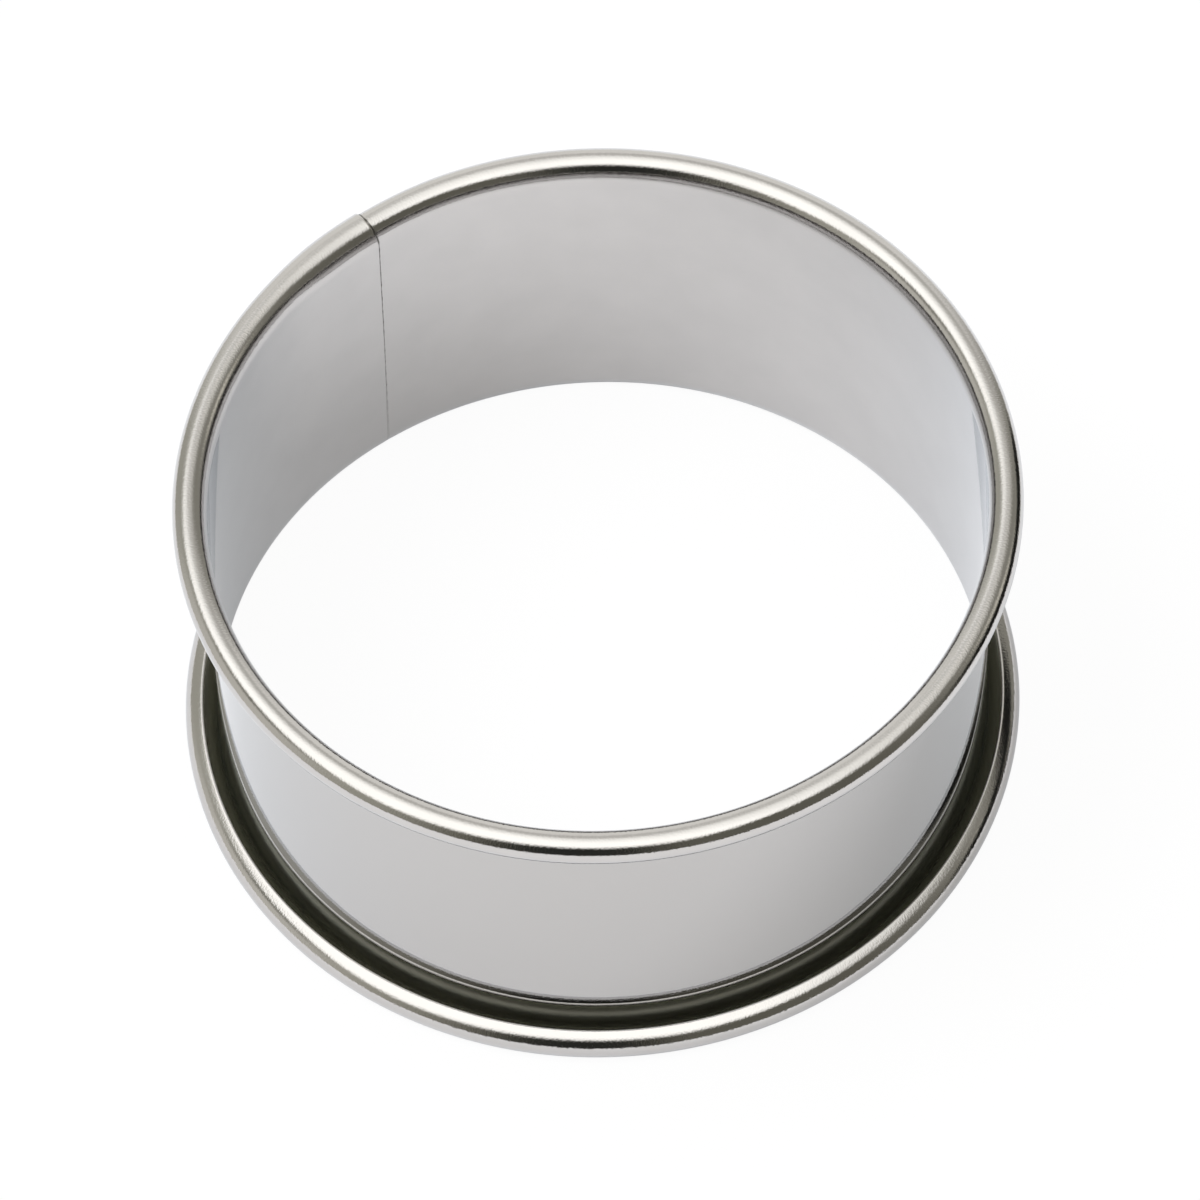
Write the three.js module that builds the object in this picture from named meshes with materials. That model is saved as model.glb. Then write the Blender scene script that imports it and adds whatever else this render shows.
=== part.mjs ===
// Cake ring: one strip of tinned sheet bent round and lapped, with both edges rolled outwards into hollow rims.
// Millimetres, +Z up, origin on the table at the centre of the ring.

import * as THREE from 'three';

// Sheet band
const INNER_DIAMETER = 100;
const RING_HEIGHT = 51;
const SHEET_THICKNESS = 0.25;

// Rolled rims, in order from the wall: an easy lead-in, the round roll, its opening end and a straight lip
const LEAD_RADIUS = 4.2;
const LEAD_DEGREES = 27;
const ROLL_RADIUS = 2.1;
const ROLL_DEGREES = 180;
const OPENING_RADIUS = 2.5;
const OPENING_DEGREES = 36;
const LIP_LENGTH = 0.95;

// Lap seam: the visible free edge stands at this angle from +X, seen from above
const SEAM_DEGREES = 123.9;
const LAP_LENGTH = 6.4;
const LAP_RUNOUT = 5;
const SOLDER_THICKNESS = 0.06;
const SOLDER_CLEARANCE = 0.02;

// Facets of the curved surfaces
const RING_FACETS = 48;
const LAP_FACETS = 2;
const RUNOUT_FACETS = 3;
const LEAD_FACETS = 2;
const ROLL_FACETS = 10;
const OPENING_FACETS = 2;

const TINNED_SHEET = { color: 0xc8c6c3, roughness: 0.16, metalness: 1 };
const SOLDER = { color: 0xb9b9b4, roughness: 0.45, metalness: 1 };

const FULL_TURN = 2 * Math.PI;
const innerRadius = INNER_DIAMETER / 2;

// In the lap, the last stretch of the strip lies inside the first one, a sheet and a film of solder away.
const lapStep = SHEET_THICKNESS + SOLDER_THICKNESS + 2 * SOLDER_CLEARANCE;
const lapAngle = LAP_LENGTH / innerRadius;
const runoutAngle = LAP_RUNOUT / innerRadius;
const plainAngle = FULL_TURN - lapAngle - 2 * runoutAngle;
const freeEdge = THREE.MathUtils.degToRad(SEAM_DEGREES);
const tuckedEdge = freeEdge + lapAngle;

// The strip is followed clockwise from its tucked end: turn 0 there, one full turn later it laps over itself.
const lapSpan = { angle: lapAngle, facets: LAP_FACETS };
const runoutSpan = { angle: runoutAngle, facets: RUNOUT_FACETS };
const plainSpan = { angle: plainAngle, facets: RING_FACETS };
const stripTurns = turnsAlong(0, [lapSpan, runoutSpan, plainSpan, runoutSpan, lapSpan]);
const lapTurns = turnsAlong(FULL_TURN, [lapSpan]);

const openingStart = LEAD_DEGREES + ROLL_DEGREES;
const lipDegrees = openingStart + OPENING_DEGREES;
const rollRuns = [
  ...arcRuns(LEAD_RADIUS, 0, LEAD_DEGREES, LEAD_FACETS),
  ...arcRuns(ROLL_RADIUS, LEAD_DEGREES, ROLL_DEGREES, ROLL_FACETS),
  ...arcRuns(OPENING_RADIUS, openingStart, OPENING_DEGREES, OPENING_FACETS),
  { heading: THREE.MathUtils.degToRad(lipDegrees), length: LIP_LENGTH },
];
const rollCorners = cornersOf(rollRuns);
const rollRise = Math.max(...rollCorners.map((corner) => corner.point.y));

// Equal steps over each span in order, from a first turn.
function turnsAlong(firstTurn, spans) {
  const turns = [firstTurn];
  for (const { angle, facets } of spans) {
    const start = turns.at(-1);
    for (let i = 1; i <= facets; i += 1) {
      turns.push(start + (angle * i) / facets);
    }
  }
  return turns;
}

// An arc as flat runs that touch it at their middles. A heading is turned from straight along the wall.
function arcRuns(radius, startDegrees, sweepDegrees, facets) {
  const start = THREE.MathUtils.degToRad(startDegrees);
  const step = THREE.MathUtils.degToRad(sweepDegrees) / facets;
  const length = 2 * radius * Math.tan(step / 2);
  return Array.from({ length: facets }, (_, i) => ({ heading: start + (i + 0.5) * step, length }));
}

// Corners of a roll's outside, from the end of the wall at the origin, x outwards and y along the wall.
// Each has the way it moves when the face moves off by one millimetre.
function cornersOf(runs) {
  const at = new THREE.Vector2();
  const corners = [];
  let before = 0;
  for (const { heading, length } of runs) {
    const offset = faceNormal((before + heading) / 2).divideScalar(Math.cos((heading - before) / 2));
    corners.push({ point: at.clone(), offset });
    at.add(new THREE.Vector2(Math.sin(heading), Math.cos(heading)).multiplyScalar(length));
    before = heading;
  }
  corners.push({ point: at, offset: faceNormal(before) });
  return corners;
}

function faceNormal(heading) {
  return new THREE.Vector2(-Math.cos(heading), Math.sin(heading));
}

// How far the lapping ply has stepped inside the plain ring.
function plyStep(turn) {
  return lapStep * THREE.MathUtils.smoothstep(turn, FULL_TURN - runoutAngle, FULL_TURN);
}

// How far both rims are set towards mid height, so that the thicker lap stays level with the rest.
function rimSet(turn) {
  const pastTuckedEdge = THREE.MathUtils.euclideanModulo(turn, FULL_TURN);
  const awayFromLap = Math.min(pastTuckedEdge - lapAngle, FULL_TURN - pastTuckedEdge);
  return lapStep * (1 - THREE.MathUtils.smoothstep(awayFromLap, 0, runoutAngle));
}

function wallBottom(turn) {
  return rollRise + rimSet(turn);
}

function wallTop(turn) {
  return RING_HEIGHT - rollRise - rimSet(turn);
}

// One face of the sheet in section, x outwards and y up, from the lower lip to the upper one.
function sheetFace(offset, turn) {
  const corners = rollCorners.map((corner) => corner.point.clone().addScaledVector(corner.offset, offset));
  const lower = corners.map(({ x, y }) => new THREE.Vector2(innerRadius + x, wallBottom(turn) - y));
  const upper = corners.map(({ x, y }) => new THREE.Vector2(innerRadius + x, wallTop(turn) + y));
  return [...lower.reverse(), ...upper];
}

// The whole sheet in section, anticlockwise: up the wall's outer face and down its inner face.
function sheetSection(turn) {
  const wallInside = sheetFace(plyStep(turn), turn);
  const wallOutside = sheetFace(plyStep(turn) - SHEET_THICKNESS, turn);
  return [...wallOutside, ...wallInside.reverse()];
}

// The film of solder in section, between the two plies of the wall.
function solderSection(turn) {
  const outside = innerRadius - SOLDER_CLEARANCE;
  const inside = outside - SOLDER_THICKNESS;
  return [
    new THREE.Vector2(inside, wallBottom(turn)),
    new THREE.Vector2(outside, wallBottom(turn)),
    new THREE.Vector2(outside, wallTop(turn)),
    new THREE.Vector2(inside, wallTop(turn)),
  ];
}

// Joins sections round the ring's axis into one closed body with a flat cap at each end.
function loftRound(turns, sectionAt) {
  const sections = turns.map(sectionAt);
  const size = sections[0].length;
  const positions = sections.flatMap((section, row) => {
    const angle = tuckedEdge - turns[row];
    return section.flatMap(({ x, y }) => [x * Math.cos(angle), x * Math.sin(angle), y]);
  });
  const triangles = [];
  for (let row = 0; row < turns.length - 1; row += 1) {
    for (let i = 0; i < size; i += 1) {
      const here = row * size + i;
      const beside = row * size + ((i + 1) % size);
      triangles.push(here, beside, beside + size, here, beside + size, here + size);
    }
  }
  const lastRow = (turns.length - 1) * size;
  for (const [a, b, c] of THREE.ShapeUtils.triangulateShape(sections[0], [])) {
    triangles.push(a, c, b);
  }
  for (const [a, b, c] of THREE.ShapeUtils.triangulateShape(sections.at(-1), [])) {
    triangles.push(lastRow + a, lastRow + b, lastRow + c);
  }
  const geometry = new THREE.BufferGeometry();
  geometry.setAttribute('position', new THREE.Float32BufferAttribute(positions, 3));
  geometry.setIndex(triangles);
  geometry.computeVertexNormals();
  return geometry;
}

function namedMesh(name, geometry, finish) {
  const mesh = new THREE.Mesh(geometry, new THREE.MeshStandardMaterial(finish));
  mesh.name = name;
  return mesh;
}

const cakeRing = new THREE.Group();
cakeRing.add(
  namedMesh('ring_band', loftRound(stripTurns, sheetSection), TINNED_SHEET),
  namedMesh('seam_solder', loftRound(lapTurns, solderSection), SOLDER),
);

export default cakeRing;
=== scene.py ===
"""Cake ring of bright tinned sheet, standing on a white studio floor.

The ring is one strip of sheet, bent round and lapped, with both edges rolled outwards into open,
hollow rims. A film of solder holds the lap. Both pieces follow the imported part's sizes, in metres,
in its own frame.
"""

import logging
import math
from dataclasses import dataclass, field
from enum import Enum
from itertools import accumulate
from typing import Any, Union

import bmesh
import bpy
from mathutils import Matrix, Vector


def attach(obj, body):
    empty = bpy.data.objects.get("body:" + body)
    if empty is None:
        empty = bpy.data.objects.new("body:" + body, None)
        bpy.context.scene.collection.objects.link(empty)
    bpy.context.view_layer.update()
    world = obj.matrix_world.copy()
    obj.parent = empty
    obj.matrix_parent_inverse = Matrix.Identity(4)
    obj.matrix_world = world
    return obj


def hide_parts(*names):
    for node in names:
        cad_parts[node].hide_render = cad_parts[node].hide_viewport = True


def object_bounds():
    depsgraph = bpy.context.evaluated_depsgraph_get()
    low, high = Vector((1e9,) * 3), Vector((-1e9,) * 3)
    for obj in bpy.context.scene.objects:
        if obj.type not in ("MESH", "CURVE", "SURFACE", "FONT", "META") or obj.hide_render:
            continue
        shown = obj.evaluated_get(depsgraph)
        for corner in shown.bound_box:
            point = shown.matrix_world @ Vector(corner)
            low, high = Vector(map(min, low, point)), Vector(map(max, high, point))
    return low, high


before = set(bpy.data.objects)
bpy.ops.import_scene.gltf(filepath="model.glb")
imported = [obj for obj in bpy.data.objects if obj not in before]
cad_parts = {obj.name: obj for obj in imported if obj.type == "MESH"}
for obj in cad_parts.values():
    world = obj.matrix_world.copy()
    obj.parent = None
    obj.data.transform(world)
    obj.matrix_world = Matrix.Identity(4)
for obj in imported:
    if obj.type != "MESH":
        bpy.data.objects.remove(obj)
CAD_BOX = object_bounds()

LOG = logging.getLogger("cake_ring")
BODY = "root"
MM = 0.001
MICRON = 0.000001
FULL_TURN = 2 * math.pi
NOISE_MIDDLE = 0.5

Colour = tuple[float, float, float, float]
Number = Union[float, "Value"]


class Slot(str, Enum):
    """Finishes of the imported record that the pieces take."""

    TINNED_SHEET = "tinned_sheet"
    SOLDER = "solder"


class Surface(str, Enum):
    """What a piece's mesh tells its finish about each point."""

    STRIP_MAP = "strip"
    CUT_EDGE = "cut_edge"
    OUTER_FACE = "outer_face"


class Value:
    """A number in a node tree. Python's operators on it add Math nodes."""

    def __init__(self, graph: "NodeGraph", socket: bpy.types.NodeSocket) -> None:
        """Wraps an output socket of the graph's tree."""
        self.graph = graph
        self.socket = socket

    def __add__(self, other: Number) -> "Value":
        """Adds a number."""
        return self.graph.math("ADD", self, other)

    __radd__ = __add__

    def __sub__(self, other: Number) -> "Value":
        """Takes a number off this one."""
        return self.graph.math("SUBTRACT", self, other)

    def __rsub__(self, other: Number) -> "Value":
        """Takes this number off another."""
        return self.graph.math("SUBTRACT", other, self)

    def __mul__(self, other: Number) -> "Value":
        """Multiplies by a number."""
        return self.graph.math("MULTIPLY", self, other)

    __rmul__ = __mul__

    def __truediv__(self, other: Number) -> "Value":
        """Divides by a number."""
        return self.graph.math("DIVIDE", self, other)

    def __rtruediv__(self, other: Number) -> "Value":
        """Divides another number by this one."""
        return self.graph.math("DIVIDE", other, self)

    def __mod__(self, other: Number) -> "Value":
        """Gives what is left after whole steps of a number."""
        return self.graph.math("MODULO", self, other)

    def __rmod__(self, other: Number) -> "Value":
        """Gives what is left of another number after whole steps of this one."""
        return self.graph.math("MODULO", other, self)

    def __pow__(self, other: Number) -> "Value":
        """Raises to a power."""
        return self.graph.math("POWER", self, other)

    def __rpow__(self, other: Number) -> "Value":
        """Raises another number to this power."""
        return self.graph.math("POWER", other, self)

    def __abs__(self) -> "Value":
        """Drops the sign."""
        return self.graph.math("ABSOLUTE", self)

    def sign(self) -> "Value":
        """Gives -1, 0 or 1."""
        return self.graph.math("SIGN", self)

    def sine(self) -> "Value":
        """Gives the sine of an angle in radians."""
        return self.graph.math("SINE", self)

    def cosine(self) -> "Value":
        """Gives the cosine of an angle in radians."""
        return self.graph.math("COSINE", self)

    def least(self, other: Number) -> "Value":
        """Gives the smaller of two numbers."""
        return self.graph.math("MINIMUM", self, other)

    def is_positive(self) -> "Value":
        """Gives 1 above zero and 0 elsewhere."""
        return self.graph.math("GREATER_THAN", self, 0.0)

    def ramp(self, start: Number, end: Number, soft: bool = False) -> "Value":
        """Rises from 0 to 1 between two values and is level outside them.

        Args:
            start: Value at which the ramp leaves 0.
            end: Value at which it reaches 1.
            soft: Whether it starts and ends gently.

        Returns:
            The ramp's number.
        """
        settings = {"interpolation_type": "SMOOTHSTEP" if soft else "LINEAR", "clamp": True}
        sockets = {"Value": self, "From Min": start, "From Max": end}
        return self.graph.value(self.graph.node("ShaderNodeMapRange", settings, sockets))


class NodeGraph:
    """Adds nodes to one shader or geometry tree."""

    COLOUR_A = 6
    COLOUR_B = 7
    COLOUR_OUT = 2

    def __init__(self, tree: bpy.types.NodeTree) -> None:
        """Starts from an empty tree."""
        self.tree = tree
        tree.nodes.clear()

    def node(
        self,
        kind: str,
        settings: dict[str, Any] | None = None,
        sockets: dict[str | int, Any] | None = None,
    ) -> bpy.types.Node:
        """Adds one node.

        Args:
            kind: The node's type.
            settings: Its own settings by name, which are set first.
            sockets: Values or links of its inputs, by name or number.

        Returns:
            The new node.
        """
        node = self.tree.nodes.new(kind)
        for name, setting in (settings or {}).items():
            setattr(node, name, setting)
        for key, content in (sockets or {}).items():
            source = content.socket if isinstance(content, Value) else content
            if isinstance(source, bpy.types.NodeSocket):
                self.tree.links.new(source, node.inputs[key])
            else:
                node.inputs[key].default_value = source
        return node

    def value(self, node: bpy.types.Node, output: str | int = 0) -> Value:
        """Wraps one output of a node."""
        return Value(self, node.outputs[output])

    def math(self, operation: str, *numbers: Number) -> Value:
        """Adds a Math node on numbers and values."""
        node = self.node("ShaderNodeMath", {"operation": operation}, dict(enumerate(numbers)))
        return self.value(node)

    def vector(self, x: Number, y: Number, z: Number) -> bpy.types.NodeSocket:
        """Puts three numbers together."""
        return self.node("ShaderNodeCombineXYZ", sockets={"X": x, "Y": y, "Z": z}).outputs[0]

    def parts(self, vector: bpy.types.NodeSocket) -> tuple[Value, Value, Value]:
        """Takes a vector apart."""
        node = self.node("ShaderNodeSeparateXYZ", sockets={0: vector})
        return self.value(node, "X"), self.value(node, "Y"), self.value(node, "Z")

    def attribute(self, mark: Surface) -> Value:
        """Reads one of a mesh's marks."""
        return self.value(self.node("ShaderNodeAttribute", {"attribute_name": mark.value}), "Fac")

    def noise(self, vector: bpy.types.NodeSocket, scale: float, detail: float) -> Value:
        """Gives even noise from 0 to 1 over a vector."""
        sockets = {"Vector": vector, "Scale": scale, "Detail": detail}
        return self.value(self.node("ShaderNodeTexNoise", sockets=sockets), 0)

    def blend(self, share: Number, first: Any, second: Any) -> bpy.types.NodeSocket:
        """Mixes two colours.

        Args:
            share: How much of the second colour shows, from 0 to 1.
            first: A colour, or the socket of one.
            second: A colour, or the socket of one.

        Returns:
            The socket of the mixed colour.
        """
        sockets = {0: share, self.COLOUR_A: first, self.COLOUR_B: second}
        return self.node("ShaderNodeMix", {"data_type": "RGBA"}, sockets).outputs[self.COLOUR_OUT]


@dataclass(frozen=True)
class RingSizes:
    """Driving sizes of the ring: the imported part's, then the small faults of a bent and soldered one."""

    inner_radius: float = 50 * MM
    height: float = 51 * MM
    sheet: float = 0.25 * MM
    lead_radius: float = 4.2 * MM
    lead_turn: float = math.radians(27)
    roll_radius: float = 2.1 * MM
    roll_turn: float = math.radians(180)
    opening_radius: float = 2.5 * MM
    opening_turn: float = math.radians(36)
    free_edge: float = math.radians(123.9)
    lap: float = 6.4 * MM
    solder: float = 0.06 * MM
    solder_clearance: float = 0.02 * MM
    oval: float = 0.19 * MM
    edge_shift: float = math.radians(-0.2)
    edge_lean: float = math.radians(0.13)
    rim_lean: float = math.radians(0.5)
    scarf: float = 3 * MM
    scarf_rise: tuple[float, float] = (-0.95, 0.0)

    @property
    def strip_length(self) -> float:
        """Length of the whole strip along the wall."""
        return FULL_TURN * self.inner_radius + self.lap

    @property
    def half_wall(self) -> float:
        """Half the height of the straight wall."""
        return self.height / 2 - self.crown_rise

    @property
    def lap_step(self) -> float:
        """How far the lapping ply lies inside the plain ring."""
        return self.sheet + self.solder + 2 * self.solder_clearance

    @property
    def lap_angle(self) -> float:
        """Turn that the two plies share."""
        return self.lap / self.inner_radius

    @property
    def tucked_edge(self) -> float:
        """Angle of the hidden end of the strip, from +X."""
        return self.free_edge + self.lap_angle

    @property
    def crown_rise(self) -> float:
        """Height of a roll's crown past the end of the straight wall."""
        lead = math.sin(self.lead_turn)
        return self.lead_radius * lead + self.roll_radius * (1 - lead)


@dataclass(frozen=True)
class TinnedSheet:
    """Bright tinned sheet: a clean mirror on the wall, grained on the rolls and dull inside them, with
    painted shade on its outer face and inside the rolls.
    """

    sizes: RingSizes = RingSizes()
    light: Colour = (0.570, 0.559, 0.551, 1)
    shade: Colour = (0.545, 0.534, 0.527, 1)
    grazing_tint: Colour = (0.94, 0.97, 1.0, 1)
    # Painted shade: the outer face is darker than the inner one, as shade on the ring's outside.
    outside: Colour = (0.502, 0.492, 0.485, 1)
    cut: Colour = (0.30, 0.29, 0.27, 1)
    # Inside the rolls the tin is painted olive and darker than the bright tin, as painted shade in the
    # hollow.
    hollow: Colour = (0.51, 0.515, 0.44, 1)
    # Colour of the dark line drawn on the inner face beside the free edge.
    dark_line: Colour = (0.10, 0.095, 0.085, 1)
    cut_range: tuple[float, float] = (0.0, 0.5)
    hollow_range: tuple[float, float] = (0.5, 1.0)
    polish: float = 0.022
    rim_polish: float = 0.075
    polish_spread: float = 0.025
    scuff_roughness: float = 0.05
    hollow_roughness: float = 0.42
    cut_roughness: float = 0.42
    dark_line_roughness: float = 0.5
    grain_per_metre: float = 4500
    grain_detail: float = 3.0
    grain_stretch: float = 0.6
    grain_depth: float = 24 * MICRON
    wall_grain: float = 0.01
    cloud_per_metre: float = 120
    cloud_detail: float = 4.0
    cloud_range: tuple[float, float] = (0.3, 0.7)
    cloud_share: float = 0.6
    scuff_length: float = 14 * MM
    seam_reach: float = 0.40 * MM
    seam_wander: float = 0.25 * MM
    seam_per_metre: float = 900
    seam_detail: float = 3.0
    seam_fade: float = 0.7
    seam_foot_cover: float = 0.12
    seam_cover: float = 0.5
    seam_full_height: float = 0.2
    seam_patches: tuple[float, float] = (0.35, 0.65)

    def material(self) -> bpy.types.Material:
        """Builds the finish.

        Returns:
            The material, which reads the strip's own map and marks.
        """
        s = self.sizes
        material = bpy.data.materials.new(Slot.TINNED_SHEET.value)
        material.use_nodes = True
        graph = NodeGraph(material.node_tree)
        strip = graph.node("ShaderNodeUVMap", {"uv_map": Surface.STRIP_MAP.value}).outputs[0]
        along, across, _ = graph.parts(strip)
        cut = graph.attribute(Surface.CUT_EDGE).ramp(*self.cut_range)
        outer_face = graph.attribute(Surface.OUTER_FACE)
        rim = abs(across).ramp(s.half_wall, s.half_wall + s.roll_radius, soft=True)
        hollow = outer_face.ramp(*self.hollow_range) * rim
        grain_place = graph.vector(along, across * self.grain_stretch, 0.0)
        grain = graph.noise(grain_place, self.grain_per_metre, self.grain_detail)
        clouds = graph.noise(strip, self.cloud_per_metre, self.cloud_detail)
        scuff_start = s.strip_length - self.scuff_length
        scuff = along.ramp(scuff_start, s.strip_length - s.lap / 2, soft=True) * rim
        # A dark line is drawn on the inner face beside the free edge.
        dark_line = self.seam_dark_line(graph, along, across) * (1.0 - outer_face)

        tin = graph.blend(clouds.ramp(*self.cloud_range), self.light, self.shade)
        # Painted shade: the outer face takes the darker tone.
        tin = graph.blend(outer_face, tin, self.outside)
        # Painted shade: inside the rolls the tin takes the olive, darker tone.
        tin = graph.blend(hollow, tin, self.hollow)
        tin = graph.blend(cut, tin, self.cut)
        polish = self.polish + (self.rim_polish - self.polish) * rim + self.scuff_roughness * scuff
        uneven = self.cloud_share * clouds + (1 - self.cloud_share) * grain
        polish = polish + self.polish_spread * uneven
        polish = polish + (self.hollow_roughness - polish) * hollow
        polish = polish + (self.cut_roughness - polish) * cut
        height = grain * (self.wall_grain + (1.0 - self.wall_grain) * rim)
        bump = graph.node(
            "ShaderNodeBump", sockets={"Strength": 1.0, "Distance": self.grain_depth, "Height": height}
        )
        shader = graph.node(
            "ShaderNodeBsdfPrincipled",
            sockets={
                "Base Color": graph.blend(dark_line, tin, self.dark_line),
                "Metallic": 1.0,
                "Roughness": polish + (self.dark_line_roughness - polish) * dark_line,
                "Specular Tint": self.grazing_tint,
                "Normal": bump.outputs[0],
            },
        )
        graph.node("ShaderNodeOutputMaterial", sockets={"Surface": shader.outputs[0]})
        return material

    def seam_dark_line(self, graph: NodeGraph, along: Value, across: Value) -> Value:
        """Draws a dark line beside the free edge, uneven and fainter towards the foot.

        Args:
            graph: The finish's graph.
            along: Length along the strip.
            across: Length across it, from the middle of the wall.

        Returns:
            How far the line covers the tin, from 0 to 1.
        """
        s = self.sizes
        lean = s.edge_shift - s.edge_lean + 2 * s.edge_lean * across.ramp(-s.half_wall, s.half_wall)
        lean = lean + s.rim_lean * across.ramp(s.half_wall, s.half_wall + 2 * s.roll_radius)
        past_edge = along - (s.lap_angle - lean) * s.inner_radius
        uneven_place = graph.vector(across, 0.0, 0.0)
        uneven = graph.noise(uneven_place, self.seam_per_metre, self.seam_detail)
        reach = self.seam_reach + (uneven - NOISE_MIDDLE) * self.seam_wander
        line = past_edge.ramp(-2 * self.seam_reach, -self.seam_reach)
        line = line * (1.0 - past_edge.ramp(reach * self.seam_fade, reach))
        upwards = across.ramp(-s.half_wall, self.seam_full_height * s.half_wall)
        patches = 1.0 + uneven.ramp(*self.seam_patches)
        return line * (self.seam_foot_cover + self.seam_cover * upwards * patches)


@dataclass(frozen=True)
class SoftSolder:
    """Dull soft solder that has run thin between two plies."""

    bright: Colour = (0.52, 0.52, 0.50, 1)
    dull: Colour = (0.40, 0.40, 0.39, 1)
    roughness: float = 0.38
    roughness_spread: float = 0.2
    flow_per_metre: float = 900
    flow_detail: float = 5.0
    flow_range: tuple[float, float] = (0.35, 0.65)
    flow_depth: float = 15 * MICRON

    def material(self) -> bpy.types.Material:
        """Builds the finish.

        Returns:
            The material, which reads Object coordinates.
        """
        material = bpy.data.materials.new(Slot.SOLDER.value)
        material.use_nodes = True
        graph = NodeGraph(material.node_tree)
        place = graph.node("ShaderNodeTexCoord").outputs["Object"]
        flow = graph.noise(place, self.flow_per_metre, self.flow_detail)
        bump = graph.node(
            "ShaderNodeBump",
            sockets={"Strength": 1.0, "Distance": self.flow_depth, "Height": flow},
        )
        shader = graph.node(
            "ShaderNodeBsdfPrincipled",
            sockets={
                "Base Color": graph.blend(flow.ramp(*self.flow_range), self.bright, self.dull),
                "Metallic": 1.0,
                "Roughness": self.roughness + self.roughness_spread * flow,
                "Normal": bump.outputs[0],
            },
        )
        graph.node("ShaderNodeOutputMaterial", sockets={"Surface": shader.outputs[0]})
        return material


class ShapeTree:
    """A Geometry Nodes tree that bends a fine block into one piece of the ring."""

    def __init__(self, name: str, inputs: dict[str, float | int], counts: tuple[int, int, int]) -> None:
        """Makes the tree's inputs and its block.

        The block's rows through the sheet go evenly round the cut edges.

        Args:
            name: The tree's name.
            inputs: Named sizes, with the values that the piece sets.
            counts: Points of the block along the strip, across it and through the sheet.
        """
        self.inputs = inputs
        self.tree = bpy.data.node_groups.new(name, "GeometryNodeTree")
        self.graph = NodeGraph(self.tree)
        interface = self.tree.interface
        interface.new_socket("Geometry", in_out="OUTPUT", socket_type="NodeSocketGeometry")
        self.identifiers = {
            key: interface.new_socket(
                key, in_out="INPUT", socket_type=self.socket_type(number)
            ).identifier
            for key, number in inputs.items()
        }
        finish = interface.new_socket("Finish", in_out="INPUT", socket_type="NodeSocketMaterial")
        self.finish_identifier = finish.identifier
        self.group_input = self.graph.node("NodeGroupInput")
        sockets = dict(zip(("Vertices X", "Vertices Y", "Vertices Z"), counts))
        self.block = self.graph.node("GeometryNodeMeshCube", sockets=sockets)
        place = self.graph.node("GeometryNodeInputPosition")
        x, y, z = self.graph.parts(place.outputs[0])
        self.along = x + 0.5
        self.side = self.along * 2.0 - 1.0
        self.across = y
        self.round_turn = (z + 0.5) * math.pi
        self.depth = 0.5 - 0.5 * self.round_turn.cosine()

    @staticmethod
    def socket_type(number: float | int) -> str:
        """Names the kind of input that takes a number."""
        return "NodeSocketInt" if isinstance(number, int) else "NodeSocketFloat"

    def size(self, name: str) -> Value:
        """Gives one of the tree's inputs."""
        return self.graph.value(self.group_input, name)

    def close(
        self,
        place: bpy.types.NodeSocket,
        strip_map: bpy.types.NodeSocket,
        marks: dict[Surface, Value],
    ) -> None:
        """Bends the block, keeps its map and ends the tree.

        Args:
            place: Where each point of the block goes.
            strip_map: Lengths along and across the strip, in metres.
            marks: What the finish is told about each point, from 0 to 1.
        """
        graph = self.graph
        marked = graph.node(
            "GeometryNodeStoreNamedAttribute",
            {"data_type": "FLOAT2", "domain": "CORNER"},
            {
                "Geometry": self.block.outputs["Mesh"],
                "Name": Surface.STRIP_MAP.value,
                "Value": strip_map,
            },
        )
        for mark, content in marks.items():
            marked = graph.node(
                "GeometryNodeStoreNamedAttribute",
                {"data_type": "FLOAT", "domain": "POINT"},
                {"Geometry": marked.outputs[0], "Name": mark.value, "Value": content},
            )
        bent = graph.node(
            "GeometryNodeSetPosition", sockets={"Geometry": marked.outputs[0], "Position": place}
        )
        turned = graph.node("GeometryNodeFlipFaces", sockets={"Mesh": bent.outputs[0]})
        smooth = graph.node("GeometryNodeSetShadeSmooth", sockets={"Geometry": turned.outputs[0]})
        real = graph.node("GeometryNodeRealizeInstances", sockets={"Geometry": smooth.outputs[0]})
        dressed = graph.node(
            "GeometryNodeSetMaterial",
            sockets={"Geometry": real.outputs[0], "Material": self.group_input.outputs["Finish"]},
        )
        graph.node("NodeGroupOutput", sockets={"Geometry": dressed.outputs[0]})

    def mesh_object(self, name: str, material: bpy.types.Material) -> bpy.types.Object:
        """Runs the tree once and keeps its result as a plain mesh.

        Args:
            name: The piece's name.
            material: Its finish.

        Returns:
            The piece, at the origin.
        """
        piece = bpy.data.objects.new(name, bpy.data.meshes.new(name))
        bpy.context.scene.collection.objects.link(piece)
        modifier = piece.modifiers.new(self.tree.name, "NODES")
        modifier.node_group = self.tree
        for key, identifier in self.identifiers.items():
            modifier[identifier] = self.inputs[key]
        modifier[self.finish_identifier] = material
        depsgraph = bpy.context.evaluated_depsgraph_get()
        mesh = bpy.data.meshes.new_from_object(
            piece.evaluated_get(depsgraph), preserve_all_data_layers=True, depsgraph=depsgraph
        )
        piece.modifiers.clear()
        piece.data = mesh
        mesh.name = name
        return piece


@dataclass(frozen=True)
class RimSection:
    """Where a point of the strip stands in a rim's section, past the end of the straight wall."""

    heading: Value
    out: Value
    rise: Value
    length: Value


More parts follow.
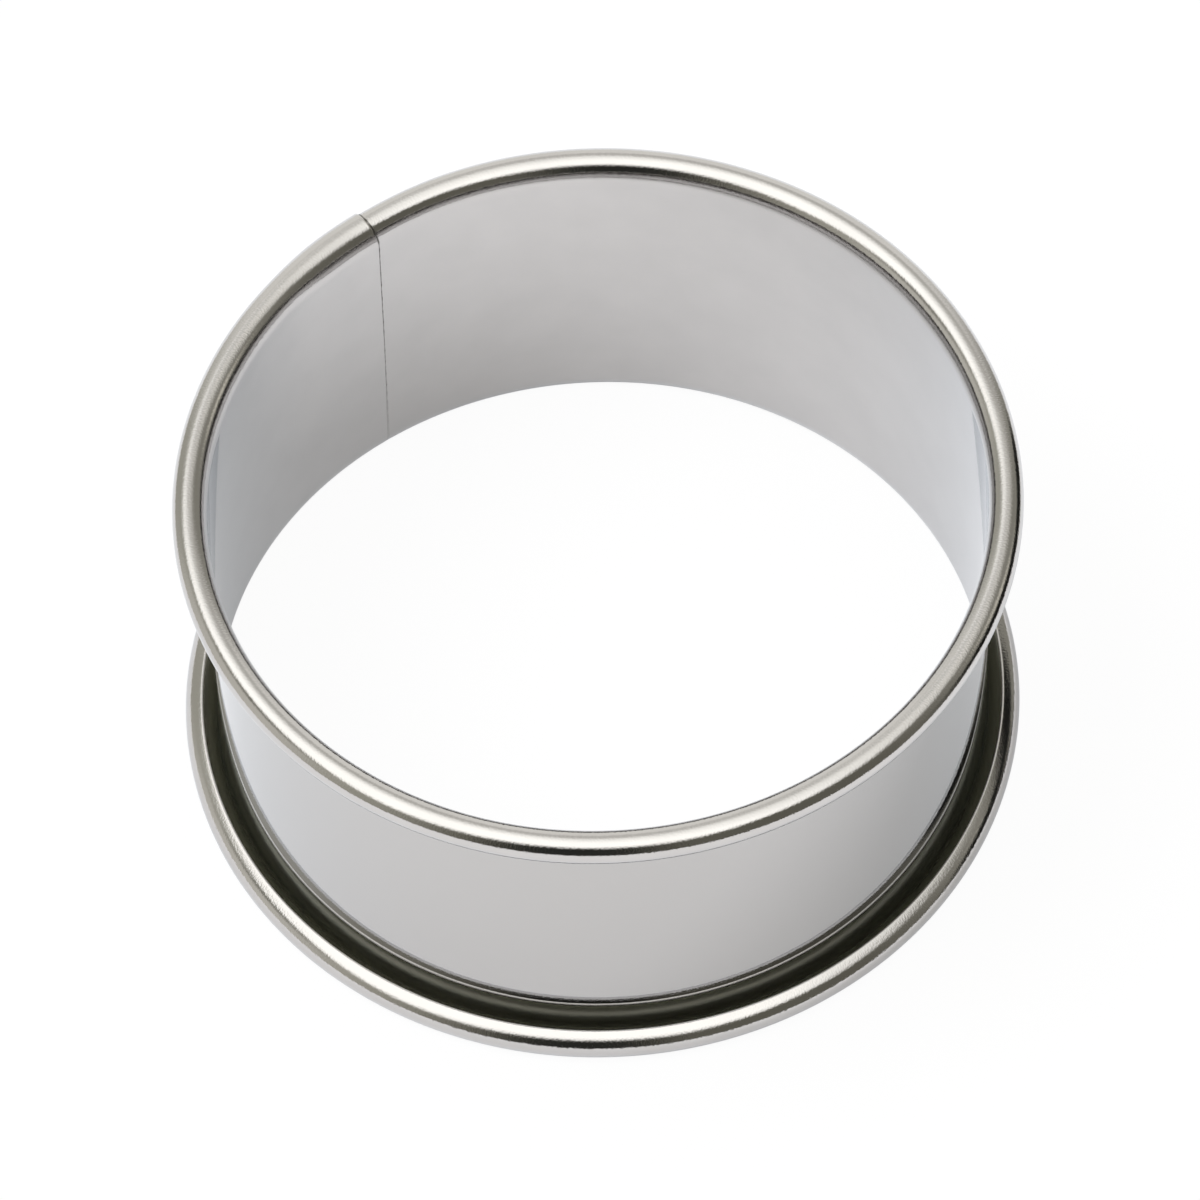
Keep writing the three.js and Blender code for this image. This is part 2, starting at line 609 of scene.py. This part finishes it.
@dataclass
class SheetBand:
    """The bent strip with its wall, both rolled rims and the lap."""

    sizes: RingSizes
    finish: TinnedSheet = field(default_factory=TinnedSheet)
    points_along: int = 430
    points_through: int = 7
    wall_rows: int = 8
    lead_rows: int = 6
    roll_rows: int = 26
    opening_rows: int = 6
    lip_rows: int = 2
    curl_rows: int = 4
    end_crowding: float = 0.75
    wall_crowding: float = 2.0
    edge_round: float = 0.05 * MM
    edge_wave: float = 0.05 * MM
    edge_wave_per_metre: float = 220
    edge_wave_detail: float = 2.0
    edge_wave_stretch: float = 1.3
    lean_start: float = 0.9
    lean_roll_share: float = 1 / 3
    lip_round: float = 0.11 * MM
    lip_straight: float = 0.74 * MM
    curl_radius: float = 0.38 * MM
    curl_turn: float = math.radians(58)
    rim_step: float = 0.27 * MM
    lapping_runout: float = 9.5 * MM
    lapped_runout: float = 12 * MM
    scarf_share: float = 0.9
    scarf_groove: float = 0.15
    groove_reach: float = 0.5
    bend_wave: float = 0.02 * MM
    bend_wave_per_metre: float = 75
    bend_wave_detail: float = 1.0
    bend_fade: float = 6.0
    seed: int = 7

    @property
    def row_starts(self) -> tuple[int, ...]:
        """Rows of faces from mid height to the lead-in, roll, opening, lip, curl and end of the strip."""
        rows = (self.wall_rows, self.lead_rows, self.roll_rows, self.opening_rows, self.lip_rows)
        return tuple(accumulate((*rows, self.curl_rows)))

    @property
    def half_rows(self) -> int:
        """Rows of faces from mid height to the end of the strip."""
        return self.row_starts[-1]

    def inputs(self) -> dict[str, float | int]:
        """Names the sizes that bend the strip.

        Returns:
            The value of each of the tree's inputs.
        """
        s = self.sizes
        return {
            "Inner Radius": s.inner_radius,
            "Ring Height": s.height,
            "Sheet": s.sheet,
            "Lead Radius": s.lead_radius,
            "Roll Radius": s.roll_radius,
            "Opening Radius": s.opening_radius,
            "Lip": self.lip_straight,
            "Curl Radius": self.curl_radius,
            "Lap Step": s.lap_step,
            "Lap Angle": s.lap_angle,
            "Rim Step": self.rim_step,
            "Lapping Runout": self.lapping_runout / s.inner_radius,
            "Lapped Runout": self.lapped_runout / s.inner_radius,
            "Tucked Edge": s.tucked_edge,
            "Crown Rise": s.crown_rise,
            "Edge Round": self.edge_round,
            "Lip Round": self.lip_round,
            "Scarf": s.scarf / s.inner_radius,
            "Oval": s.oval,
            "Seed": self.seed,
        }

    def tree(self) -> ShapeTree:
        """Writes the rule that bends the strip.

        Returns:
            The finished Geometry Nodes tree.
        """
        s = self.sizes
        counts = (self.points_along, 2 * self.half_rows + 1, self.points_through)
        shape = ShapeTree("sheet_band_shape", self.inputs(), counts)
        graph = shape.graph
        lead_start, roll_start = self.row_starts[:2]

        # Across the strip, from mid height: the wall's rows are closer together towards the rims.
        level = abs(shape.across) * 2.0 * self.half_rows
        wall_share = 1.0 - (1.0 - level.ramp(0.0, lead_start)) ** self.wall_crowding
        wall_place = shape.across.sign() * wall_share
        rim_share = level.ramp(lead_start, roll_start, soft=True)
        rim = self.rim_section(shape, level)

        # Along the strip, from its tucked end, which is one full turn behind the lapping stretch.
        at_end = abs(shape.side).ramp(1.0 - 1.0 / self.points_along, 1.0)
        turn = self.strip_turn(shape, level, wall_place, at_end)
        proud = wall_place.ramp(*s.scarf_rise, soft=True)
        offset = self.face_offset(shape, turn, rim_share, proud)
        half_height = shape.size("Ring Height") * 0.5
        half_wall = half_height - shape.size("Crown Rise") - self.rim_set(shape, turn) * proud

        # The wall keeps a little of the unevenness of the rollers that bent it.
        bend_place = graph.vector(turn.cosine(), turn.sine(), shape.size("Seed"))
        bend_scale = self.bend_wave_per_metre * s.inner_radius
        bend = graph.noise(bend_place, bend_scale, self.bend_wave_detail) - NOISE_MIDDLE
        bend_in = bend * (2 * self.bend_wave) * (1.0 - wall_share ** self.bend_fade)

        angle = shape.size("Tucked Edge") - turn
        oval = shape.size("Oval") * (angle * 2.0).sine()
        radius = shape.size("Inner Radius") + rim.out - offset * rim.heading.cosine() + bend_in + oval
        climb = half_wall * wall_share + rim.rise + offset * rim.heading.sine()
        height = half_height + shape.across.sign() * climb
        place = graph.vector(radius * angle.cosine(), radius * angle.sine(), height)

        # The map holds lengths along and across the flat strip.
        strip_across = shape.across.sign() * (half_wall * wall_share + rim.length)
        strip_map = graph.vector(turn * s.inner_radius, strip_across, 0.0)
        marks = {
            Surface.CUT_EDGE: shape.round_turn.sine() * at_end,
            Surface.OUTER_FACE: shape.depth,
        }
        shape.close(place, strip_map, marks)
        return shape

    def rim_section(self, shape: ShapeTree, level: Value) -> RimSection:
        """Follows the sheet through the lead-in, the roll, its opening, the lip and its curl.

        Args:
            shape: The strip's tree.
            level: Rows of faces from mid height.

        Returns:
            The place of each point in the section.
        """
        s = self.sizes
        lead_start, roll_start, opening_start, lip_start, curl_start, end = self.row_starts
        lead_end = s.lead_turn
        roll_end = lead_end + s.roll_turn
        opening_end = roll_end + s.opening_turn
        curl_end = opening_end + self.curl_turn
        lead = level.ramp(lead_start, roll_start) * s.lead_turn
        roll = level.ramp(roll_start, opening_start) * s.roll_turn + lead_end
        opening = level.ramp(opening_start, lip_start) * s.opening_turn + roll_end
        lip = level.ramp(lip_start, curl_start) * shape.size("Lip")
        curl = level.ramp(curl_start, end) * self.curl_turn + opening_end
        tip = shape.round_turn.sine() * shape.size("Lip Round") * level.ramp(end - 1, end)
        out = (
            shape.size("Lead Radius") * (1.0 - lead.cosine())
            + shape.size("Roll Radius") * (math.cos(lead_end) - roll.cosine())
            + shape.size("Opening Radius") * (math.cos(roll_end) - opening.cosine())
            + lip * math.sin(opening_end)
            + shape.size("Curl Radius") * (math.cos(opening_end) - curl.cosine())
            + tip * math.sin(curl_end)
        )
        rise = (
            shape.size("Lead Radius") * lead.sine()
            + shape.size("Roll Radius") * (roll.sine() - math.sin(lead_end))
            + shape.size("Opening Radius") * (opening.sine() - math.sin(roll_end))
            + lip * math.cos(opening_end)
            + shape.size("Curl Radius") * (curl.sine() - math.sin(opening_end))
            + tip * math.cos(curl_end)
        )
        length = (
            lead * s.lead_radius
            + (roll - lead_end) * s.roll_radius
            + (opening - roll_end) * s.opening_radius
            + lip
            + (curl - opening_end) * self.curl_radius
            + tip
        )
        heading = lead + roll + opening + curl - (lead_end + roll_end + opening_end)
        return RimSection(heading, out, rise, length)

    def strip_turn(self, shape: ShapeTree, level: Value, wall_place: Value, at_end: Value) -> Value:
        """Spreads the points along the strip, closer together at both ends, where the lap is.

        The cut ends are rounded and a little wavy. The free edge isn't quite upright, and leans a
        little more over the upper rim.

        Args:
            shape: The strip's tree.
            level: Rows of faces from mid height.
            wall_place: Place up the wall, from -1 to 1.
            at_end: 1 on the cut ends and 0 elsewhere.

        Returns:
            Turn from the tucked end.
        """
        s = self.sizes
        graph = shape.graph
        lead_start, roll_start = self.row_starts[:2]
        crowded = shape.along - self.end_crowding / FULL_TURN * (shape.along * FULL_TURN).sine()
        wave_across = shape.across * s.height * self.edge_wave_stretch
        wave_place = graph.vector(wave_across, shape.size("Seed"), 0.0)
        wave = graph.noise(wave_place, self.edge_wave_per_metre, self.edge_wave_detail) - NOISE_MIDDLE
        bulge = shape.round_turn.sine() * shape.size("Edge Round") + wave * (2 * self.edge_wave)
        end_reach = bulge * at_end * shape.side / shape.size("Inner Radius")
        over_rim = level.ramp(lead_start, roll_start + self.roll_rows * self.lean_roll_share)
        upper_rim = shape.across.is_positive() * over_rim
        lean = s.edge_shift + wall_place * s.edge_lean + upper_rim * s.rim_lean
        leaning = lean * shape.side.ramp(self.lean_start, 1.0)
        return crowded * (shape.size("Lap Angle") + FULL_TURN) + end_reach - leaning

    def face_offset(self, shape: ShapeTree, turn: Value, rim_share: Value, proud: Value) -> Value:
        """Gives how far a point lies inside the plain ring's inner face.

        The strip's last stretch steps inside the first. Towards its foot the lap was wiped flush: the
        free edge thins out and the ply behind it gives way.

        Args:
            shape: The strip's tree.
            turn: Turn from the tucked end.
            rim_share: 0 on the wall and 1 on the rims.
            proud: How far the lap is left standing, from 0 to 1.

        Returns:
            The offset, less than zero within the sheet.
        """
        lap_angle = shape.size("Lap Angle")
        scarf = shape.size("Scarf")
        lap_step = shape.size("Lap Step") * (1.0 - rim_share) + shape.size("Rim Step") * rim_share
        lapping = turn.ramp(FULL_TURN - shape.size("Lapping Runout"), FULL_TURN, soft=True)
        flush = 1.0 - proud
        free_edge = lap_angle + FULL_TURN
        thinned = turn.ramp(free_edge - scarf, free_edge) * self.scarf_share * flush
        meeting = turn.ramp(lap_angle - scarf, lap_angle) * (1.0 - self.scarf_groove)
        groove = turn.ramp(lap_angle, lap_angle + scarf * self.groove_reach) * self.scarf_groove
        behind = 1.0 - meeting - groove
        stepped = lap_step * (lapping * proud - behind * flush)
        return stepped - shape.depth * (1.0 - thinned) * shape.size("Sheet")

    @staticmethod
    def rim_set(shape: ShapeTree, turn: Value) -> Value:
        """Gives how far both rims are set towards mid height, so that the lap stays level.

        Args:
            shape: The strip's tree.
            turn: Turn from the tucked end.

        Returns:
            The set, full over the lap and fading out on both sides of it.
        """
        past_tucked_edge = turn % FULL_TURN
        past_lap = past_tucked_edge - shape.size("Lap Angle")
        lapped = 1.0 - past_lap.ramp(0.0, shape.size("Lapped Runout"), soft=True)
        before_lap = FULL_TURN - past_tucked_edge
        lapping = 1.0 - before_lap.ramp(0.0, shape.size("Lapping Runout"), soft=True)
        return shape.size("Rim Step") * (lapped + lapping)

    def build(self) -> bpy.types.Object:
        """Makes the band and gives it its place in the part.

        Returns:
            The band, which stands for its CAD node.
        """
        piece = self.tree().mesh_object("tinned_band", self.finish.material())
        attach(piece, BODY)
        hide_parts("ring_band")
        return piece


@dataclass
class SeamSolder:
    """The film of solder between the two plies of the lap."""

    sizes: RingSizes
    finish: SoftSolder = field(default_factory=SoftSolder)
    points_along: int = 24
    points_across: int = 160
    points_through: int = 5
    shrink: float = 0.35 * MM
    run_depth: float = 0.3 * MM
    run_per_metre: float = 350
    run_detail: float = 3.0
    seed: int = 11

    def tree(self) -> ShapeTree:
        """Writes the rule that lays the film.

        Returns:
            The finished Geometry Nodes tree.
        """
        s = self.sizes
        shape = ShapeTree(
            "seam_solder_shape",
            {
                "Outer Radius": s.inner_radius - s.solder_clearance,
                "Thickness": s.solder,
                "Ring Height": s.height,
                "Lap Angle": s.lap_angle,
                "Tucked Edge": s.tucked_edge,
                "Rim Set": s.crown_rise + s.lap_step,
                "Shrink": self.shrink,
                "Scarf": s.scarf,
                "Lap Step": s.lap_step,
                "Oval": s.oval,
                "Seed": self.seed,
            },
            (self.points_along, self.points_across, self.points_through),
        )
        graph = shape.graph
        half_height = shape.size("Ring Height") * 0.5
        half_film = half_height - shape.size("Rim Set") - shape.size("Shrink")

        # Each end of the film runs a little less far than the sheet, in an uneven line.
        run_place = graph.vector(shape.across * s.height, shape.side.sign(), shape.size("Seed"))
        run = graph.noise(run_place, self.run_per_metre, self.run_detail) * self.run_depth

        # Where the lap was wiped flush, the film stays behind the thinned edge.
        wall_place = shape.across * 2.0 * half_film / s.half_wall
        flush = 1.0 - wall_place.ramp(*s.scarf_rise, soft=True)
        kept_back = shape.size("Scarf") * flush * shape.side.is_positive()
        drawn_in = (shape.size("Shrink") + run + kept_back) / shape.size("Outer Radius")
        half_turn = shape.size("Lap Angle") * 0.5 - drawn_in
        angle = shape.size("Tucked Edge") - shape.size("Lap Angle") * 0.5 - shape.side * half_turn
        pushed = shape.size("Oval") * (angle * 2.0).sine() + shape.size("Lap Step") * flush
        radius = shape.size("Outer Radius") - shape.size("Thickness") * (1.0 - shape.depth) + pushed
        height = half_height + shape.across * 2.0 * half_film
        place = graph.vector(radius * angle.cosine(), radius * angle.sine(), height)
        shape.close(place, graph.vector(angle * s.inner_radius, height, 0.0), {})
        return shape

    def build(self) -> bpy.types.Object:
        """Makes the film and gives it its place in the part.

        Returns:
            The film, which stands for its CAD node.
        """
        piece = self.tree().mesh_object("solder_film", self.finish.material())
        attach(piece, BODY)
        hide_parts("seam_solder")
        return piece


@dataclass(frozen=True)
class Panel:
    """A soft patch of the studio, as the ring sees it, with its angles in degrees."""

    colour: Colour
    azimuth: float
    half_width: float
    side_soft: float
    low: float = -90
    high: float = 50
    edge_soft: float = 12


@dataclass(frozen=True)
class BoxEdge:
    """One edge of the soft box on a level plane one metre above the ring. Its azimuth is in degrees."""

    azimuth: float
    reach: float
    soft: float


@dataclass
class Studio:
    """White floor, soft box, panels and a dark bar that the ring mirrors, and a key lamp on the left."""

    floor_reach: tuple[float, float] = (0.235, 0.60)
    floor_points: int = 96
    floor_colour: Colour = (0.885, 0.885, 0.92, 1)
    white: Colour = (1, 1, 1, 1)
    floor_seen_white: float = 0.95
    floor_mirrored_white: float = 0.24
    room: Colour = (0.165, 0.158, 0.130, 1)
    panels: tuple[Panel, ...] = (
        Panel((0.33, 0.318, 0.275, 1), 120, 40, 24),
        Panel((0.52, 0.50, 0.44, 1), 130, 38, 20, low=49, high=80, edge_soft=10),
        Panel((0.85, 0.81, 0.70, 1), 105, 7, 6, low=16, high=29, edge_soft=5),
        Panel((0.50, 0.49, 0.425, 1), -130, 34, 14),
        Panel((0.48, 0.465, 0.40, 1), -60, 20, 16, high=45),
        Panel((0.74, 0.72, 0.650, 1), -90, 24, 12, high=27, edge_soft=7),
        Panel((1.04, 1.02, 0.965, 1), 180, 34, 14, high=44, edge_soft=16),
        Panel((0.03, 0.028, 0.025, 1), 99, 18, 9, high=8, edge_soft=6),
    )
    camera_shade: Panel = Panel((0.032, 0.033, 0.029, 1), -6, 17, 8, low=-6, high=48)
    soft_box: Colour = (1.86, 1.84, 1.77, 1)
    soft_box_edges: tuple[BoxEdge, ...] = (
        BoxEdge(-97, 1.12, 0.26),
        BoxEdge(0, 0.90, 0.42),
        BoxEdge(50, 0.86, 0.26),
        BoxEdge(90, 0.74, 0.42),
        BoxEdge(140, 0.45, 0.60),
        BoxEdge(-165, 0.95, 0.30),
    )
    horizon_rise: float = 0.05
    flag_start: tuple[float, float, float] = (0.105, 0.045, 0.055)
    flag_end: tuple[float, float, float] = (0.350, -0.015, 0.055)
    flag_radii: tuple[float, float] = (0.017, 0.040)
    flag_points: int = 24
    flag_colour: Colour = (0.02, 0.02, 0.018, 1)
    key_azimuth: float = math.radians(-84)
    key_elevation: float = math.radians(60)
    key_size: float = math.radians(30)
    key_strength: float = 1.4
    mirror_bounces: int = 12

    def build(self) -> bpy.types.Object:
        """Sets up the world, the key lamp and the floor.

        Returns:
            The floor, which isn't part of the ring.
        """
        scene = bpy.context.scene
        scene.view_settings.view_transform = "Standard"
        scene.cycles.max_bounces = self.mirror_bounces
        scene.cycles.glossy_bounces = self.mirror_bounces
        self.light_world()
        self.hang_key()
        self.hang_flag()
        return self.lay_floor()

    def light_world(self) -> None:
        """Paints the studio round the ring, white to the camera."""
        world = bpy.data.worlds.new("studio")
        bpy.context.scene.world = world
        world.use_nodes = True
        graph = NodeGraph(world.node_tree)
        direction = graph.node("ShaderNodeTexCoord").outputs["Generated"]
        x, y, z = graph.parts(direction)
        azimuth = graph.math("DEGREES", graph.math("ARCTAN2", x, y * -1.0))
        elevation = graph.math("DEGREES", graph.math("ARCSINE", z))
        light = self.room
        for panel in self.panels:
            light = graph.blend(self.panel_share(graph, panel, azimuth, elevation), light, panel.colour)
        light = graph.blend(self.soft_box_share(graph, x, y, z), light, self.soft_box)
        shade_share = self.panel_share(graph, self.camera_shade, azimuth, elevation)
        light = graph.blend(shade_share, light, self.camera_shade.colour)
        path = graph.node("ShaderNodeLightPath")
        seen = graph.value(path, "Is Camera Ray") + graph.value(path, "Is Transmission Ray")
        shown = graph.blend(seen, light, self.white)
        background = graph.node("ShaderNodeBackground", sockets={"Color": shown, "Strength": 1.0})
        graph.node("ShaderNodeOutputWorld", sockets={"Surface": background.outputs[0]})

    @staticmethod
    def panel_share(graph: NodeGraph, panel: Panel, azimuth: Value, elevation: Value) -> Value:
        """Gives how far a direction lies on a panel.

        Args:
            graph: The world's graph.
            panel: The panel.
            azimuth: The direction's angle from the camera's side, to the right, in degrees.
            elevation: Its angle above the horizon, in degrees.

        Returns:
            A share from 0 to 1.
        """
        soft = panel.edge_soft
        away = abs(graph.math("WRAP", azimuth - panel.azimuth, 180.0, -180.0))
        beside = away.ramp(
            panel.half_width - panel.side_soft, panel.half_width + panel.side_soft, soft=True
        )
        above = elevation.ramp(panel.high - soft, panel.high + soft, soft=True)
        over_low = elevation.ramp(panel.low - soft, panel.low + soft, soft=True)
        return (1.0 - beside) * (1.0 - above) * over_low

    def soft_box_share(self, graph: NodeGraph, x: Value, y: Value, z: Value) -> Value:
        """Gives how far a direction lies on the soft box.

        Args:
            graph: The world's graph.
            x: The direction's part to the right.
            y: Its part to the back.
            z: Its part upwards.

        Returns:
            A share from 0 to 1.
        """
        rise = graph.math("MAXIMUM", z, self.horizon_rise)
        share = z.ramp(0.0, self.horizon_rise)
        for edge in self.soft_box_edges:
            turn = math.radians(edge.azimuth)
            out = (x * math.sin(turn) - y * math.cos(turn)) / rise
            past = out.ramp(edge.reach - edge.soft, edge.reach + edge.soft, soft=True)
            share = share.least(1.0 - past)
        return share

    def hang_key(self) -> None:
        """Hangs the soft key lamp, which lights the floor but isn't mirrored."""
        data = bpy.data.lights.new("key_lamp", "SUN")
        data.energy = self.key_strength
        data.angle = self.key_size
        lamp = bpy.data.objects.new("key_lamp", data)
        bpy.context.scene.collection.objects.link(lamp)
        level = math.cos(self.key_elevation)
        right = level * math.sin(self.key_azimuth)
        front = level * math.cos(self.key_azimuth)
        towards = Vector((right, -front, math.sin(self.key_elevation)))
        lamp.matrix_world = towards.to_track_quat("Z", "Y").to_matrix().to_4x4()
        lamp.visible_camera = False
        lamp.visible_glossy = False

    def hang_flag(self) -> None:
        """Hangs the dark bar beside the ring, which only the ring's mirror sees."""
        bar = bmesh.new()
        bmesh.ops.create_cone(
            bar,
            cap_ends=True,
            segments=self.flag_points,
            radius1=self.flag_radii[0],
            radius2=self.flag_radii[1],
            depth=1,
        )
        start = Vector(self.flag_start)
        end = Vector(self.flag_end)
        run = end - start
        turn = run.to_track_quat("Z", "Y").to_matrix().to_4x4()
        place = Matrix.Translation((start + end) / 2) @ turn @ Matrix.Diagonal((1, 1, run.length, 1))
        bmesh.ops.transform(bar, matrix=place, verts=bar.verts)
        mesh = bpy.data.meshes.new("dark_flag")
        bar.to_mesh(mesh)
        bar.free()
        material = bpy.data.materials.new("dark_flag")
        material.use_nodes = True
        graph = NodeGraph(material.node_tree)
        matte = graph.node("ShaderNodeBsdfDiffuse", sockets={"Color": self.flag_colour})
        graph.node("ShaderNodeOutputMaterial", sockets={"Surface": matte.outputs[0]})
        mesh.materials.append(material)
        flag = bpy.data.objects.new("dark_flag", mesh)
        bpy.context.scene.collection.objects.link(flag)
        flag.visible_camera = False
        flag.visible_diffuse = False
        flag.visible_transmission = False
        flag.visible_shadow = False

    def lay_floor(self) -> bpy.types.Object:
        """Makes the floor under the ring.

        Returns:
            A wide, flat oval.
        """
        half_width, half_length = self.floor_reach
        turns = [FULL_TURN * i / self.floor_points for i in range(self.floor_points)]
        level = CAD_BOX[0].z
        edge = [(half_width * math.cos(turn), half_length * math.sin(turn), level) for turn in turns]
        mesh = bpy.data.meshes.new("floor")
        mesh.from_pydata(edge, [], [tuple(range(self.floor_points))])
        mesh.materials.append(self.floor_material())
        floor = bpy.data.objects.new("floor", mesh)
        bpy.context.scene.collection.objects.link(floor)
        return floor

    def floor_material(self) -> bpy.types.Material:
        """Builds the white floor, which keeps a soft shadow.

        Returns:
            The floor's material.
        """
        material = bpy.data.materials.new("white_floor")
        material.use_nodes = True
        graph = NodeGraph(material.node_tree)
        path = graph.node("ShaderNodeLightPath")
        seen = graph.value(path, "Is Camera Ray") + graph.value(path, "Is Transmission Ray")
        mirrored = graph.value(path, "Is Glossy Ray")
        white_share = seen * self.floor_seen_white + mirrored * self.floor_mirrored_white
        matte = graph.node("ShaderNodeBsdfDiffuse", sockets={"Color": self.floor_colour})
        glow = graph.node("ShaderNodeEmission", sockets={"Color": self.white, "Strength": 1.0})
        shader = graph.node(
            "ShaderNodeMixShader", sockets={0: white_share, 1: matte.outputs[0], 2: glow.outputs[0]}
        )
        graph.node("ShaderNodeOutputMaterial", sockets={"Surface": shader.outputs[0]})
        return material


@dataclass
class PhotoCamera:
    """The photograph's camera, fitted to the ring's outlines."""

    aim: tuple[float, float, float] = (-0.028 * MM, 0.0, 25.613 * MM)
    elevation: float = math.radians(56.876)
    roll: float = math.radians(-1.375)
    distance: float = 1.8270
    lens: float = 424.37
    sensor: float = 36.0

    def build(self) -> bpy.types.Object:
        """Places the camera in front of the ring, above it and looking down.

        Returns:
            The camera, set as the scene's own.
        """
        data = bpy.data.cameras.new("photo_camera")
        data.lens = self.lens
        data.sensor_width = self.sensor
        camera = bpy.data.objects.new("photo_camera", data)
        bpy.context.scene.collection.objects.link(camera)
        back = Vector((0, -math.cos(self.elevation), math.sin(self.elevation)))
        level_up = Vector((0, math.sin(self.elevation), math.cos(self.elevation)))
        sideways = Vector((1, 0, 0))
        right = math.cos(self.roll) * sideways + math.sin(self.roll) * level_up
        up = math.cos(self.roll) * level_up - math.sin(self.roll) * sideways
        turned = Matrix((right, up, back)).transposed()
        place = Matrix.Translation(Vector(self.aim) + back * self.distance)
        camera.matrix_world = place @ turned.to_4x4()
        bpy.context.scene.camera = camera
        return camera


def main() -> None:
    """Builds the ring, the studio and the camera, and reports each piece."""
    logging.basicConfig(level=logging.INFO, format="%(name)s: %(message)s")
    sizes = RingSizes()
    for assembly in (SheetBand(sizes), SeamSolder(sizes)):
        piece = assembly.build()
        LOG.info("%s has %d faces", piece.name, len(piece.data.polygons))
    for assembly in (Studio(), PhotoCamera()):
        LOG.info("%s is in place", assembly.build().name)


if __name__ == "__main__":
    main()
